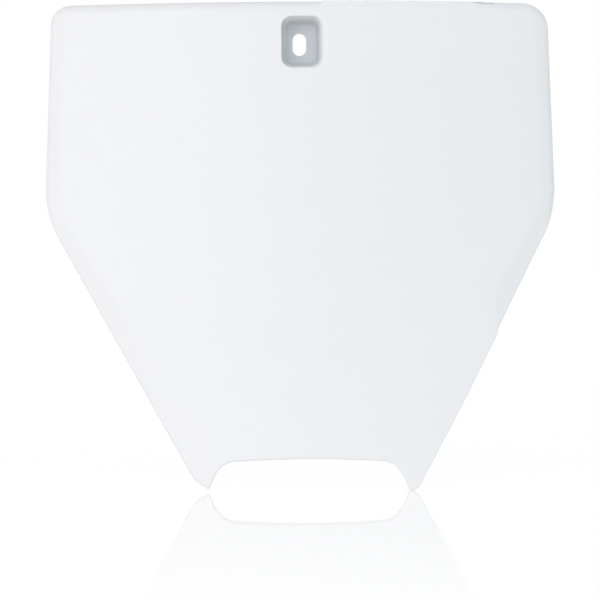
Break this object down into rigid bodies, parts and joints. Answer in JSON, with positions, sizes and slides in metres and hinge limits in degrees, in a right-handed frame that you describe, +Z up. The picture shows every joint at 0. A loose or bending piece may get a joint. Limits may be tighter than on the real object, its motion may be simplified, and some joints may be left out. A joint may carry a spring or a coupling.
{
  "type": "racing number board",
  "caption": "Crowned moulded front board for a race number, with a recessed screw pocket, bevelled and turned-back edges, and a notch between its feet.",
  "frame": {"origin": "on the axis of the mounting screw, in the plane where the back of the screw pocket bears on its bracket", "axes": "+X to the right of someone facing the board, +Z up, -Y forwards out of the face"},
  "size_m": [0.2556, 0.0275, 0.2432],
  "materials": {
    "white_polypropylene": "fine satin, as moulded"
  },
  "bodies": {
    "root": {"number_board": "white_polypropylene"}
  },
  "joints": []
}
